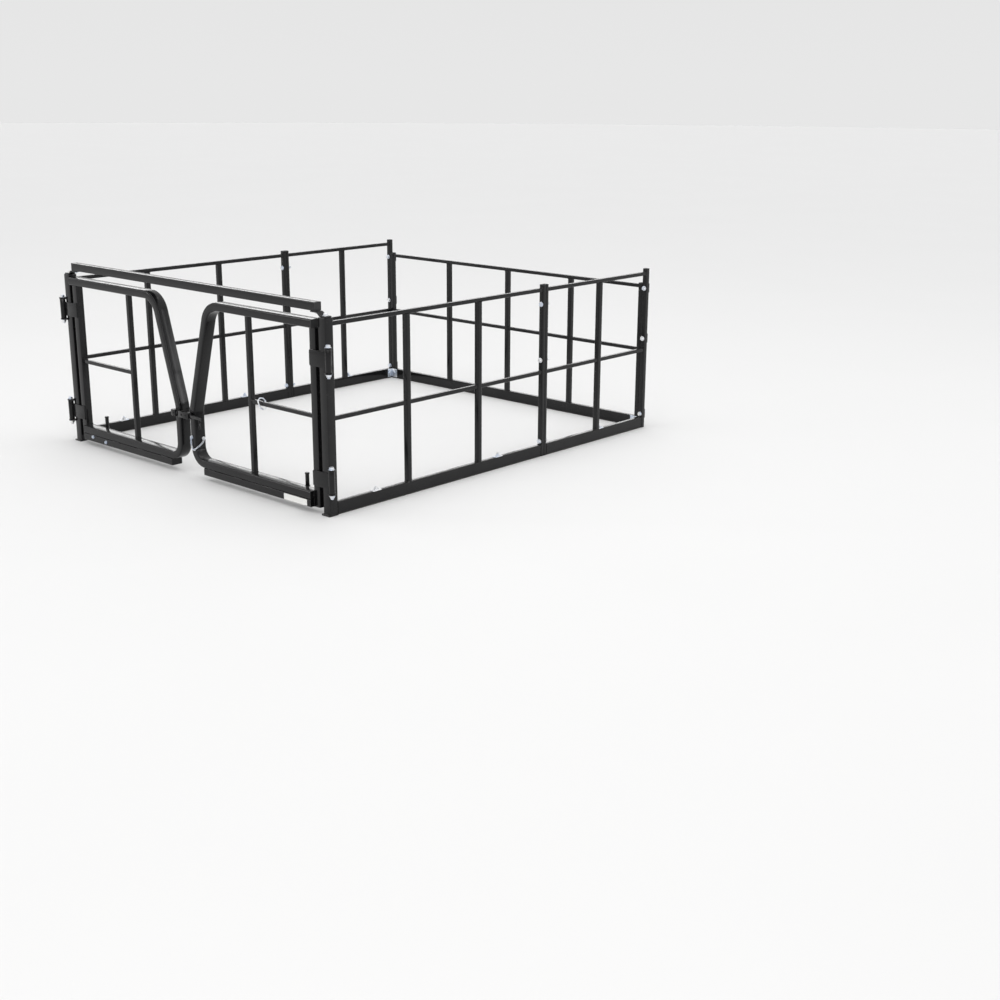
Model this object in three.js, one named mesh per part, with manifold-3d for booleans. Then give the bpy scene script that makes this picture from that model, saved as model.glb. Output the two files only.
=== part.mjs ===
// A steel stock rack for a pickup bed: two bolted side panels, a front panel, two rear
// corner posts, a raised header and two bent-tube gates that swing outwards.
// Millimetres. +X is the truck's right, +Y is forwards, +Z is up, and z = 0 is the
// top of the bed rails, where the rack stands.
import * as THREE from "three";
import { mergeVertices } from "three/addons/utils/BufferGeometryUtils.js";
import Module from "manifold-3d";

const wasm = await Module();
wasm.setup();

// Overall
const rackWidth = 1694;        // outer face to outer face of the corner posts
const rackLength = 1940;       // rear face of the posts to the front of the front tabs
const postHeight = 736;
const gap = 0.3;               // between pieces that touch

// Tube sizes
const postSize = 38;
const uprightSize = 22;
const railSize = 16;
const bottomRailHeight = 50;
const gateTube = 32;
const gateBarSize = 20;
const headerSize = 32;
const tubeCorner = 2;          // corner radius of a square tube

// Side panels
const topRailZ = 713;
const middleRailZ = 365;
const splicePlaneY = 1213;
const spliceDepth = 17;         // a splice upright, front to back
const rearBarPitch = 399;      // rear section, bar to bar
const frontBarShare = 0.52;    // front section, where its one bar stands between its end uprights
const uprightRise = 14;        // how far an end upright stands above the top rail

// Front panel
const frontTopRailZ = 655;
const frontBarPitch = 400;
const tabThickness = 4;
const tabHeight = 44;
const tabLevels = [64, 417, 646];

// Corner posts and hinges
const footSize = 46;
const footThickness = 6;
const hingeLevels = [136, 586];
const axisOutboard = 18;       // hinge axis beyond the post's outer face
const axisBehind = 5;          // hinge axis behind the post's rear face
const barrelHeight = 84;
const barrelRadius = 12;
const pinRadius = 6;
const pinClearance = 0.2;
const strapHeight = 60;
const strapThickness = 5;
const earThickness = 6;
const earReach = 14;           // ear beyond the hinge axis
const earLength = 24;          // ear ahead of the hinge axis
const earClearance = 0.5;

// Gates
const stileClearance = 19;     // gate's stile to the post
const bowDepth = 50;           // bent tube and sill bar, front to back
const gateBottomZ = 22;
const gateTopZ = 728;
const sillHeight = 29;
const meetingX = 48;           // centre of the upright run, either side of the middle
const kneeZ = 282;
const slantTopX = 173.5;       // where the slanting stile's line meets the top rail's
const topBend = 85;
const kneeBend = 90;
const bottomBend = 60;
const gateBarX = 391;

// Header
const headerHalf = 789;
const headerZ = 771;
const headerStrapThickness = 5;
const headerStrapDepth = 30;

// Latch
const latchZ = 258;
const boltSize = 12;
const boltClearance = 0.4;
const blockHeight = 26;
const blockDepth = 24;
const housingInner = -14;      // the housing's nose, across the gap between the gates
const housingOuter = 52;
const keeperInner = -34;
const keeperOuter = -62;
const boltLength = 146;
const handleAt = 126;          // handle's distance from the bolt's tip
const handleRadius = 4.5;
const handleDrop = 46;

// Chain and label
const chainRadius = 4;
const labelWidth = 132;
const labelHeight = 24;
const labelThickness = 1.5;
const labelX = 672;

// Dependent sizes
const halfWidth = rackWidth / 2;
const sideX = halfWidth - uprightSize / 2;
const postX = halfWidth - postSize / 2;
const gateY = gateTube / 2;
const stileOuterX = halfWidth - postSize - stileClearance;
const stileInnerX = stileOuterX - gateTube;
const frontPlateY = rackLength - tabThickness;
const sideEndY = frontPlateY - gap;
const frontY = frontPlateY - uprightSize / 2;
const frontEndX = halfWidth - uprightSize - gap - uprightSize / 2;
const sideTopZ = topRailZ + railSize / 2 + uprightRise;

const black = new THREE.MeshStandardMaterial({ color: 0x0b0b0c, roughness: 0.28, metalness: 0.1 });
const zinc = new THREE.MeshStandardMaterial({ color: 0xc9ccd0, roughness: 0.3, metalness: 1 });
const plate = new THREE.MeshStandardMaterial({ color: 0xe9e9e6, roughness: 0.5, metalness: 0 });

const rack = new THREE.Group();

function addMesh(name, geometry, material = black) {
  const mesh = new THREE.Mesh(geometry, material);
  mesh.name = name;
  rack.add(mesh);
  return mesh;
}

function toSolid(geometry) {
  const bare = geometry.index ? geometry.toNonIndexed() : geometry.clone();
  bare.deleteAttribute("normal");
  bare.deleteAttribute("uv");
  const merged = mergeVertices(bare, 1e-4);
  return new wasm.Manifold(new wasm.Mesh({
    numProp: 3,
    vertProperties: new Float32Array(merged.attributes.position.array),
    triVerts: new Uint32Array(merged.index.array),
  }));
}

function toGeometry(solid) {
  const mesh = solid.getMesh();
  const geometry = new THREE.BufferGeometry();
  const points = [];
  for (let i = 0; i < mesh.vertProperties.length; i += mesh.numProp) {
    points.push(mesh.vertProperties[i], mesh.vertProperties[i + 1], mesh.vertProperties[i + 2]);
  }
  geometry.setAttribute("position", new THREE.Float32BufferAttribute(points, 3));
  geometry.setIndex(Array.from(mesh.triVerts));
  return geometry;
}

const joined = (first, ...rest) =>
  toGeometry(rest.reduce((solid, piece) => solid.add(toSolid(piece)), toSolid(first)));

const cutFrom = (body, ...tools) =>
  toGeometry(tools.reduce((solid, tool) => solid.subtract(toSolid(tool)), toSolid(body)));

// A box between two corners.
function boxBetween(low, high) {
  const size = low.map((v, i) => high[i] - v);
  return new THREE.BoxGeometry(...size)
    .translate((low[0] + high[0]) / 2, (low[1] + high[1]) / 2, (low[2] + high[2]) / 2);
}

function roundedSection(width, height, radius) {
  const shape = new THREE.Shape();
  const w = width / 2 - radius;
  const h = height / 2 - radius;
  shape.absarc(w, h, radius, 0, Math.PI / 2);
  shape.absarc(-w, h, radius, Math.PI / 2, Math.PI);
  shape.absarc(-w, -h, radius, Math.PI, 1.5 * Math.PI);
  shape.absarc(w, -h, radius, 1.5 * Math.PI, 2 * Math.PI);
  return shape;
}

// A rounded bar along one axis. Its section is width by height; centre gives the two
// other coordinates, and from and to are its ends along the axis.
function bar(axis, width, height, centre, from, to) {
  const geometry = new THREE.ExtrudeGeometry(roundedSection(width, height, tubeCorner), {
    depth: to - from, bevelEnabled: false, curveSegments: 1,
  });
  if (axis === "z") return geometry.translate(centre[0], centre[1], from);
  if (axis === "y") return geometry.rotateX(Math.PI / 2).translate(centre[0], to, centre[1]);
  return geometry.rotateZ(Math.PI / 2).rotateY(Math.PI / 2).translate(from, centre[0], centre[1]);
}

function rod(axis, radius, centre, from, to, sides = 20) {
  const geometry = new THREE.CylinderGeometry(radius, radius, to - from, sides);
  const middle = (from + to) / 2;
  if (axis === "z") return geometry.rotateX(Math.PI / 2).translate(centre[0], centre[1], middle);
  if (axis === "y") return geometry.translate(centre[0], middle, centre[1]);
  return geometry.rotateZ(Math.PI / 2).translate(middle, centre[0], centre[1]);
}

// The centreline through a list of corners [x, z, bend radius], as points with normals.
function bentLine(corners, steps = 6) {
  const line = [];
  const push = (x, z, dx, dz) => line.push({ x, z, nx: -dz, nz: dx });
  for (let i = 0; i < corners.length; i++) {
    const [x, z, radius] = corners[i];
    const before = corners[i - 1];
    const after = corners[i + 1];
    const unit = (a, b) => {
      const length = Math.hypot(b[0] - a[0], b[1] - a[1]);
      return [(b[0] - a[0]) / length, (b[1] - a[1]) / length];
    };
    if (!before) { push(x, z, ...unit(corners[i], after)); continue; }
    if (!after) { push(x, z, ...unit(before, corners[i])); continue; }
    const into = unit(before, corners[i]);
    const out = unit(corners[i], after);
    const turn = Math.atan2(into[0] * out[1] - into[1] * out[0], into[0] * out[0] + into[1] * out[1]);
    const run = radius * Math.tan(Math.abs(turn) / 2);
    const side = Math.sign(turn);
    const centre = [x - into[0] * run - into[1] * radius * side, z - into[1] * run + into[0] * radius * side];
    const start = Math.atan2(into[1], into[0]);
    for (let k = 0; k <= steps; k++) {
      const heading = start + (turn * k) / steps;
      const dx = Math.cos(heading);
      const dz = Math.sin(heading);
      push(centre[0] + dz * radius * side, centre[1] - dx * radius * side, dx, dz);
    }
  }
  return line;
}

// A flat bar or tube that follows a bent line in the XZ plane, depth thick along Y.
function bentBar(corners, width, yFrom, depth, edge = tubeCorner) {
  const line = bentLine(corners);
  const outline = [
    ...line.map((p) => new THREE.Vector2(p.x + p.nx * width / 2, p.z + p.nz * width / 2)),
    ...line.slice().reverse().map((p) => new THREE.Vector2(p.x - p.nx * width / 2, p.z - p.nz * width / 2)),
  ];
  const geometry = new THREE.ExtrudeGeometry(new THREE.Shape(outline), {
    depth: depth - 2 * edge, bevelEnabled: edge > 0, bevelThickness: edge, bevelSize: edge,
    bevelOffset: -edge, bevelSegments: 2,
  });
  return geometry.translate(0, 0, edge).rotateX(Math.PI / 2).translate(0, yFrom + depth, 0);
}

// Side panels
for (const [side, s] of [["left", -1], ["right", 1]]) {
  const railX = s * sideX;
  const barTop = topRailZ - railSize / 2 - gap;
  const splice = [splicePlaneY - gap / 2 - spliceDepth, splicePlaneY + gap / 2];
  const sections = {
    rear: {
      from: postSize + gap,
      to: splice[0] - gap,
      bars: [1, 2].map((n) => postSize / 2 + n * rearBarPitch - 6),
      ends: [splice[0]],
    },
    front: {
      from: splice[1] + spliceDepth + gap,
      to: sideEndY - uprightSize - gap,
      bars: [splice[1] + spliceDepth + frontBarShare * (sideEndY - uprightSize - splice[1] - spliceDepth)],
      ends: [splice[1], sideEndY - uprightSize],
    },
  };
  for (const [section, plan] of Object.entries(sections)) {
    const name = `${side}_${section}`;
    addMesh(`${name}_bottom_rail`,
      bar("y", uprightSize, bottomRailHeight, [railX, bottomRailHeight / 2], plan.from, plan.to));
    addMesh(`${name}_middle_rail`, bar("y", railSize, railSize, [railX, middleRailZ], plan.from, plan.to));
    addMesh(`${name}_top_rail`, bar("y", railSize, railSize, [railX, topRailZ], plan.from, plan.to));
    plan.bars.forEach((y, n) => {
      const upright = bar("z", uprightSize, uprightSize, [railX, y], bottomRailHeight + gap, barTop);
      const hole = railSize / 2 + gap;
      addMesh(`${name}_bar_${n + 1}`, cutFrom(upright, boxBetween(
        [railX - hole, y - uprightSize, middleRailZ - hole], [railX + hole, y + uprightSize, middleRailZ + hole])));
    });
    plan.ends.forEach((y, n) => {
      const which = n === plan.ends.length - 1 && section === "front" ? "end_upright" : "splice_upright";
      const deep = which === "splice_upright" ? spliceDepth : uprightSize;
      addMesh(`${name}_${which}`, bar("z", uprightSize, deep, [railX, y + deep / 2], 0, sideTopZ));
    });
  }
}

// Front panel
{
  const half = frontEndX - uprightSize / 2 - gap;
  const endTop = frontTopRailZ + railSize / 2 + 6;
  const hole = railSize / 2 + gap;
  addMesh("front_bottom_rail",
    bar("x", uprightSize, bottomRailHeight, [frontY, bottomRailHeight / 2], -half, half));
  addMesh("front_middle_rail", bar("x", railSize, railSize, [frontY, middleRailZ], -half, half));
  addMesh("front_top_rail", bar("x", railSize, railSize, [frontY, frontTopRailZ], -half, half));
  for (const [n, x] of [-frontBarPitch, 0, frontBarPitch].entries()) {
    const upright = bar("z", uprightSize, uprightSize, [x, frontY],
      bottomRailHeight + gap, frontTopRailZ - railSize / 2 - gap);
    addMesh(`front_bar_${n + 1}`, cutFrom(upright, boxBetween(
      [x - uprightSize, frontY - hole, middleRailZ - hole], [x + uprightSize, frontY + hole, middleRailZ + hole])));
  }
  for (const [side, s] of [["left", -1], ["right", 1]]) {
    const upright = bar("z", uprightSize, uprightSize, [s * frontEndX, frontY], 0, endTop);
    const inner = s * (frontEndX - uprightSize / 2 + 2);
    const outer = s * (halfWidth - 1);
    const tabs = tabLevels.map((z) => boxBetween(
      [Math.min(inner, outer), frontPlateY - 1, z - tabHeight / 2],
      [Math.max(inner, outer), rackLength, z + tabHeight / 2]));
    const clearance = boxBetween(
      [Math.min(s * (halfWidth - uprightSize - gap), s * halfWidth), frontPlateY - 3, 0],
      [Math.max(s * (halfWidth - uprightSize - gap), s * halfWidth), frontPlateY, postHeight]);
    const whole = toSolid(joined(upright, ...tabs)).subtract(toSolid(clearance));
    addMesh(`front_${side}_upright`, toGeometry(whole));
  }
}

// Corner posts with their hinge ears
const earSpan = barrelHeight / 2 + earClearance;
for (const [side, s] of [["left", -1], ["right", 1]]) {
  const axisX = s * (halfWidth + axisOutboard);
  const post = bar("z", postSize, postSize, [s * postX, postSize / 2], 0, postHeight);
  const foot = boxBetween(
    [s * postX - footSize / 2, postSize - footSize, 0],
    [s * postX + footSize / 2, postSize, footThickness]);
  const ears = [];
  const holes = [];
  for (const z of hingeLevels) {
    for (const low of [z - earSpan - earThickness, z + earSpan]) {
      const shape = new THREE.Shape();
      shape.moveTo(-axisOutboard - 3, earLength);
      shape.lineTo(-axisOutboard - 3, -earReach * 0.2);
      shape.lineTo(-axisOutboard + 4, -earReach);
      shape.lineTo(0, -earReach);
      shape.absarc(0, 0, earReach, -Math.PI / 2, 0);
      shape.lineTo(earReach, 2);
      shape.lineTo(-axisOutboard + 2, earLength);
      const ear = new THREE.ExtrudeGeometry(shape, { depth: earThickness, bevelEnabled: false, curveSegments: 3 });
      const placed = s > 0 ? ear : ear.rotateY(Math.PI).translate(0, 0, earThickness);
      ears.push(placed.translate(axisX, -axisBehind, low));
    }
    holes.push(rod("z", pinRadius + pinClearance, [axisX, -axisBehind],
      z - earSpan - earThickness - 1, z + earSpan + earThickness + 1));
  }
  let whole = toSolid(joined(post, foot, ...ears));
  for (const hole of holes) whole = whole.subtract(toSolid(hole));
  addMesh(`${side}_corner_post`, toGeometry(whole));
}

// Gates
const bowRearY = gateTube - bowDepth;
const boltCentreY = bowRearY - gap - blockDepth / 2;
for (const [side, s] of [["left", -1], ["right", 1]]) {
  const axisX = s * (halfWidth + axisOutboard);
  const sillTop = gateBottomZ + sillHeight;
  const runZ = sillTop + gap + gateTube / 2;
  const topZ = gateTopZ - gateTube / 2;
  const runTop = runZ + gateTube / 2;
  addMesh(`${side}_gate_hinge_stile`, bar("z", gateTube, gateTube,
    [s * (stileInnerX + gateTube / 2), gateY], gateBottomZ, topZ - gateTube / 2 - gap));
  addMesh(`${side}_gate_bow`, bentBar([
    [s * stileOuterX, topZ], [s * slantTopX, topZ, topBend], [s * meetingX, kneeZ, kneeBend],
    [s * meetingX, runZ, bottomBend], [s * (stileInnerX - gap), runZ]], gateTube, bowRearY, bowDepth));
  addMesh(`${side}_gate_bar`,
    bar("z", gateBarSize, gateBarSize, [s * gateBarX, gateY], runTop + gap, topZ - gateTube / 2 - gap));
  const rail = [s * (gateBarX + gateBarSize / 2 + gap), s * (stileInnerX - gap)].sort((a, b) => a - b);
  addMesh(`${side}_gate_middle_rail`, bar("x", railSize, railSize, [gateY, middleRailZ], ...rail));
  const sill = [s * (meetingX + bottomBend), s * (stileInnerX - gap)].sort((a, b) => a - b);
  addMesh(`${side}_gate_sill_bar`,
    bar("x", bowDepth, sillHeight, [bowRearY + bowDepth / 2, gateBottomZ + sillHeight / 2], ...sill));

  for (const [n, z] of hingeLevels.entries()) {
    const level = n === 0 ? "lower" : "upper";
    const strapX = [s * (stileInnerX + 2), axisX].sort((a, b) => a - b);
    const strap = boxBetween([strapX[0], -gap - strapThickness, z - strapHeight / 2],
      [strapX[1], -gap, z + strapHeight / 2]);
    const barrel = rod("z", barrelRadius, [axisX, -axisBehind], z - barrelHeight / 2, z + barrelHeight / 2);
    const bore = rod("z", pinRadius + pinClearance, [axisX, -axisBehind], z - barrelHeight, z + barrelHeight);
    addMesh(`${side}_${level}_hinge_strap`,
      toGeometry(toSolid(joined(strap, barrel)).subtract(toSolid(bore))));

    const top = z + earSpan + earThickness + gap;
    const bottom = z - earSpan - earThickness - gap;
    const pin = joined(
      rod("z", pinRadius, [axisX, -axisBehind], bottom - 15, top + 1),
      rod("z", 9.8, [axisX, -axisBehind], top, top + 8, 6),
      rod("z", 9.8, [axisX, -axisBehind], bottom - 10, bottom, 6));
    addMesh(`${side}_${level}_hinge_bolt`, pin, zinc);
  }
}

// Header and its straps
addMesh("header", bar("x", headerSize, headerSize, [postSize / 2, headerZ], -headerHalf, headerHalf));
for (const [side, s] of [["left", -1], ["right", 1]]) {
  const footZ = postHeight + gap + headerStrapThickness / 2;
  const legZ = headerZ - headerSize / 2 - gap - headerStrapThickness / 2;
  addMesh(`${side}_header_strap`, bentBar([
    [s * (halfWidth - 3), footZ], [s * (postX - 14), footZ, 6], [s * (postX - 30), legZ, 6],
    [s * (postX - 64), legZ]], headerStrapThickness, (postSize - headerStrapDepth) / 2, headerStrapDepth, 0));
}

// Latch: the bolt slides in the housing on the right gate, into the keeper on the left gate
{
  const hole = boltSize / 2 + boltClearance;
  const yFrom = bowRearY - gap - blockDepth;
  const block = (from, to) => cutFrom(
    boxBetween([from, yFrom, latchZ - blockHeight / 2], [to, bowRearY - gap, latchZ + blockHeight / 2]),
    boxBetween([from - 5, boltCentreY - hole, latchZ - hole], [to + 5, boltCentreY + hole, latchZ + hole]));
  addMesh("latch_housing", block(housingInner, housingOuter));
  addMesh("latch_keeper", block(keeperOuter, keeperInner));
  const tip = housingInner + 1;
  addMesh("latch_bolt", joined(
    boxBetween([tip, boltCentreY - boltSize / 2, latchZ - boltSize / 2],
      [tip + boltLength, boltCentreY + boltSize / 2, latchZ + boltSize / 2]),
    rod("z", handleRadius, [tip + handleAt, boltCentreY], latchZ - handleDrop, latchZ, 12)));
}

// Chain, slung from the rear face of the right gate's upright run round to its inner side
{
  const rear = bowRearY - gap - chainRadius - 1;
  const path = new THREE.CatmullRomCurve3([
    [40, rear, 168], [40, rear, 142], [45, rear, 124], [55, rear, 118], [66, rear, 124],
    [70, rear + 7.5, 130], [70.5, rear + 19, 136], [70.5, rear + 33, 146], [70, rear + 43, 160],
  ].map((place) => new THREE.Vector3(...place)));
  const section = new THREE.Shape();
  section.absarc(0, 0, chainRadius, 0, 2 * Math.PI);
  addMesh("safety_chain", new THREE.ExtrudeGeometry(section, {
    extrudePath: path, steps: 24, curveSegments: 4, bevelEnabled: false,
  }), zinc);
}

// Blank label plate on the right gate's sill bar
{
  const z = gateBottomZ + sillHeight / 2;
  addMesh("label_plate", boxBetween(
    [labelX - labelWidth / 2, bowRearY - gap - labelThickness, z - labelHeight / 2],
    [labelX + labelWidth / 2, bowRearY - gap, z + labelHeight / 2]), plate);
}

// The frame's origin is the middle of the footprint, at bed-rail height.
const bounds = new THREE.Box3().setFromObject(rack);
const centre = bounds.getCenter(new THREE.Vector3());
rack.position.set(-centre.x, -centre.y, 0);

export default rack;
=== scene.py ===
from math import ceil, radians, sqrt, tan

import bpy
from mathutils import Matrix, Vector


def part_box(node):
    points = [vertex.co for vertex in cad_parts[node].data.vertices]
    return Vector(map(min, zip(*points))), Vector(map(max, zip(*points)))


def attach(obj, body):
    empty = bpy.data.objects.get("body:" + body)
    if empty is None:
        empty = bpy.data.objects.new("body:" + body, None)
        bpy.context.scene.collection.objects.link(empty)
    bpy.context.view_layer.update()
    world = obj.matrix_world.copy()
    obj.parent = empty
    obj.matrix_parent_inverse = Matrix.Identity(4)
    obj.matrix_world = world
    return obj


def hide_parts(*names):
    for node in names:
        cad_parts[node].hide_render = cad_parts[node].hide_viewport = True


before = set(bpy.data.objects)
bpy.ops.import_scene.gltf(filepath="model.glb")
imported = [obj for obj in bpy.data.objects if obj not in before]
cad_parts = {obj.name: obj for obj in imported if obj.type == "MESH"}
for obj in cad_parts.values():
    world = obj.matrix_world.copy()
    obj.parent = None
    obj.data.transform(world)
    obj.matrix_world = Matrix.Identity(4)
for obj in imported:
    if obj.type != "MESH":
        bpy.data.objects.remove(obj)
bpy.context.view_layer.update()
print("frame loaded:", len(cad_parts), "nodes")

sideSigns = {"left": -1, "right": 1}
touchGap = 0.0003        # between pieces that touch


def sideOf(low, high, sign):
    # the X of a box's right side, or of its left side for a negative sign
    return high.x if sign > 0 else low.x


# ---- camera, floor and light

cameraPlan = {
    "place": (4.6538, -4.2500, 1.5597),
    "turn": 41.95,   # degrees round the rack, 0 looks along +Y
    "tilt": 16.6,    # degrees above the horizon
    "roll": 0.35,
    "lens": 51.1,
}

floorPlan = {
    "radius": 45.0,
    "sky": [             # height above the horizon (0 to 1) and brightness
        (0.0, 0.80), (0.05, 0.79), (0.09, 0.25), (0.155, 0.25),
        (0.178, 3.0), (0.265, 3.0), (0.30, 0.42), (0.50, 0.90), (1.0, 1.0),
    ],
}

lightPlan = [
    # name, place, aimed at, width, height, power, colour
    ("topSoftbox", (0.8, -0.4, 5.2), (0.0, 0.0, 0.0), 4.5, 4.5, 58, (1.0, 0.995, 0.985)),
    ("keySoftbox", (5.6, -5.4, 2.6), (0.0, 0.0, 0.3), 0.35, 2.6, 34, (1.0, 0.99, 0.97)),
    ("sideSoftbox", (6.4, 3.4, 2.4), (0.0, 0.0, 0.3), 0.6, 3.0, 12, (0.98, 0.99, 1.0)),
    ("rearSoftbox", (-4.5, -5.2, 2.5), (0.0, 0.0, 0.3), 0.5, 2.6, 28, (1.0, 0.99, 0.98)),
]


def deselectAll():
    if bpy.context.object and bpy.context.object.mode != "OBJECT":
        bpy.ops.object.mode_set(mode="OBJECT")
    bpy.ops.object.select_all(action="DESELECT")


def choose(*pieces):
    deselectAll()
    for piece in pieces:
        piece.select_set(True)
    bpy.context.view_layer.objects.active = pieces[0]
    return pieces[0]


def settle(piece):
    # the object goes back to the origin, and its place stays in its mesh
    choose(piece)
    bpy.ops.object.transform_apply(location=True, rotation=True, scale=True)
    return piece


def pick(piece, kind, test):
    # selects faces, edges or corners in code and opens edit mode on them
    choose(piece)
    mesh = piece.data
    for item in (*mesh.vertices, *mesh.edges, *mesh.polygons):
        item.select = False
    if kind == "faces":
        for face in mesh.polygons:
            face.select = bool(test(face.center, face.normal))
    elif kind == "edges":
        for edge in mesh.edges:
            first, second = (mesh.vertices[i].co for i in edge.vertices)
            edge.select = bool(test(first, second))
    else:
        for corner in mesh.vertices:
            corner.select = bool(test(corner.co))
    bpy.context.tool_settings.mesh_select_mode = (kind == "corners", kind == "edges", kind == "faces")
    bpy.ops.object.mode_set(mode="EDIT")


def leaveEdit():
    bpy.ops.object.mode_set(mode="OBJECT")


def extrudeBy(x, y, z):
    bpy.ops.mesh.extrude_region_move(TRANSFORM_OT_translate={"value": (x, y, z)})


def growAbout(centre, share):
    # scales the selection across Z
    bpy.ops.transform.resize(value=(share, share, 1), center_override=centre)


def applyModifier(piece, kind, **settings):
    choose(piece)
    modifier = piece.modifiers.new(kind.lower(), kind)
    for key, value in settings.items():
        setattr(modifier, key, value)
    bpy.ops.object.modifier_apply(modifier=modifier.name)


def pointOutwards(piece):
    pick(piece, "faces", lambda centre, normal: True)
    bpy.ops.mesh.remove_doubles(threshold=0.000001)
    bpy.ops.mesh.normals_make_consistent(inside=False)
    leaveEdit()


def smoothEdges(piece, angle=32):
    choose(piece)
    bpy.ops.object.shade_smooth_by_angle(angle=radians(angle))


def bevelEdges(piece, test, offset, segments):
    pick(piece, "edges", test)
    bpy.ops.mesh.bevel(offset=offset, segments=segments, affect="EDGES", clamp_overlap=True)
    leaveEdit()


def bevelRim(piece, test, offset, segments):
    # rounds the outline of the faces that pass the test
    pick(piece, "faces", test)
    bpy.ops.mesh.bevel(offset=offset, segments=segments, affect="EDGES", clamp_overlap=True)
    leaveEdit()


def named(piece, name):
    piece.name = name
    piece.data.name = name
    return piece


def copyAt(master, place, turn=None):
    # a copy with its own mesh, turned about the origin and then moved
    twin = master.copy()
    twin.data = master.data.copy()
    bpy.context.scene.collection.objects.link(twin)
    matrix = Matrix.Translation(Vector(place))
    if turn is not None:
        matrix = matrix @ turn
    twin.data.transform(matrix)
    return twin


def joinedAs(name, pieces):
    choose(*pieces)
    if len(pieces) > 1:
        bpy.ops.object.join()
    return named(bpy.context.object, name)


def finishPiece(piece, body, kind, *nodes):
    finish, slotName = finishes[kind]
    piece.data.materials.clear()
    piece.data.materials.append(finish)
    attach(piece, body)
    if nodes:
        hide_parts(*nodes)
    return piece


def finishJoined(name, pieces, body, kind, *nodes):
    return finishPiece(joinedAs(name, pieces), body, kind, *nodes)


def addCamera(plan):
    deselectAll()
    bpy.ops.object.camera_add(location=plan["place"])
    camera = named(bpy.context.object, "studioCamera")
    turned = Matrix.Rotation(radians(plan["turn"]), 3, "Z")
    turned = turned @ Matrix.Rotation(radians(90 - plan["tilt"]), 3, "X")
    turned = turned @ Matrix.Rotation(radians(plan["roll"]), 3, "Z")
    camera.rotation_euler = turned.to_euler()
    camera.data.lens = plan["lens"]
    camera.data.sensor_width = 36
    camera.data.clip_end = 60
    bpy.context.scene.camera = camera


def addFloor(plan):
    deselectAll()
    bpy.ops.mesh.primitive_circle_add(vertices=96, radius=plan["radius"], fill_type="NGON")
    floor = named(bpy.context.object, "studioFloor")
    return floor


def addSky(plan):
    # pale at the horizon, a strip light all round above it, and bright overhead
    studio = bpy.data.worlds.new("studio")
    studio.use_nodes = True
    tree = studio.node_tree
    place = tree.nodes.new("ShaderNodeTexCoord")
    parts = tree.nodes.new("ShaderNodeSeparateXYZ")
    rise = tree.nodes.new("ShaderNodeValToRGB")
    stops = rise.color_ramp.elements
    while len(stops) < len(plan["sky"]):
        stops.new(0.5)
    for stop, (height, shade) in zip(stops, plan["sky"]):
        stop.position = height
        stop.color = (shade, shade, shade, 1)
    tree.links.new(place.outputs["Generated"], parts.inputs[0])
    tree.links.new(parts.outputs["Z"], rise.inputs[0])
    tree.links.new(rise.outputs[0], tree.nodes["Background"].inputs["Color"])
    bpy.context.scene.world = studio


def addLights(plan):
    for name, place, aim, width, height, power, colour in plan:
        deselectAll()
        bpy.ops.object.light_add(type="AREA", location=place)
        lamp = named(bpy.context.object, name)
        lamp.data.shape = "RECTANGLE"
        lamp.data.size = width
        lamp.data.size_y = height
        lamp.data.energy = power
        lamp.data.color = colour
        lamp.rotation_euler = (Vector(aim) - Vector(place)).to_track_quat("-Z", "Y").to_euler()
        lamp.visible_camera = False


# ---- finishes

class Signal:
    # a socket that can be added, subtracted, multiplied and so on
    def __init__(self, tree, socket):
        self.tree = tree
        self.socket = socket

    def maths(self, operation, first, second, clamp=False):
        step = self.tree.nodes.new("ShaderNodeMath")
        step.operation = operation
        step.use_clamp = clamp
        for place, value in enumerate((first, second)):
            if isinstance(value, Signal):
                self.tree.links.new(value.socket, step.inputs[place])
            else:
                step.inputs[place].default_value = value
        return Signal(self.tree, step.outputs[0])

    def __add__(self, other):
        return self.maths("ADD", self, other)

    def __sub__(self, other):
        return self.maths("SUBTRACT", self, other)

    def __rsub__(self, other):
        return self.maths("SUBTRACT", other, self)

    def __mul__(self, other):
        return self.maths("MULTIPLY", self, other)

    __radd__ = __add__
    __rmul__ = __mul__

    def clamped(self):
        return self.maths("ADD", self, 0.0, clamp=True)


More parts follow.
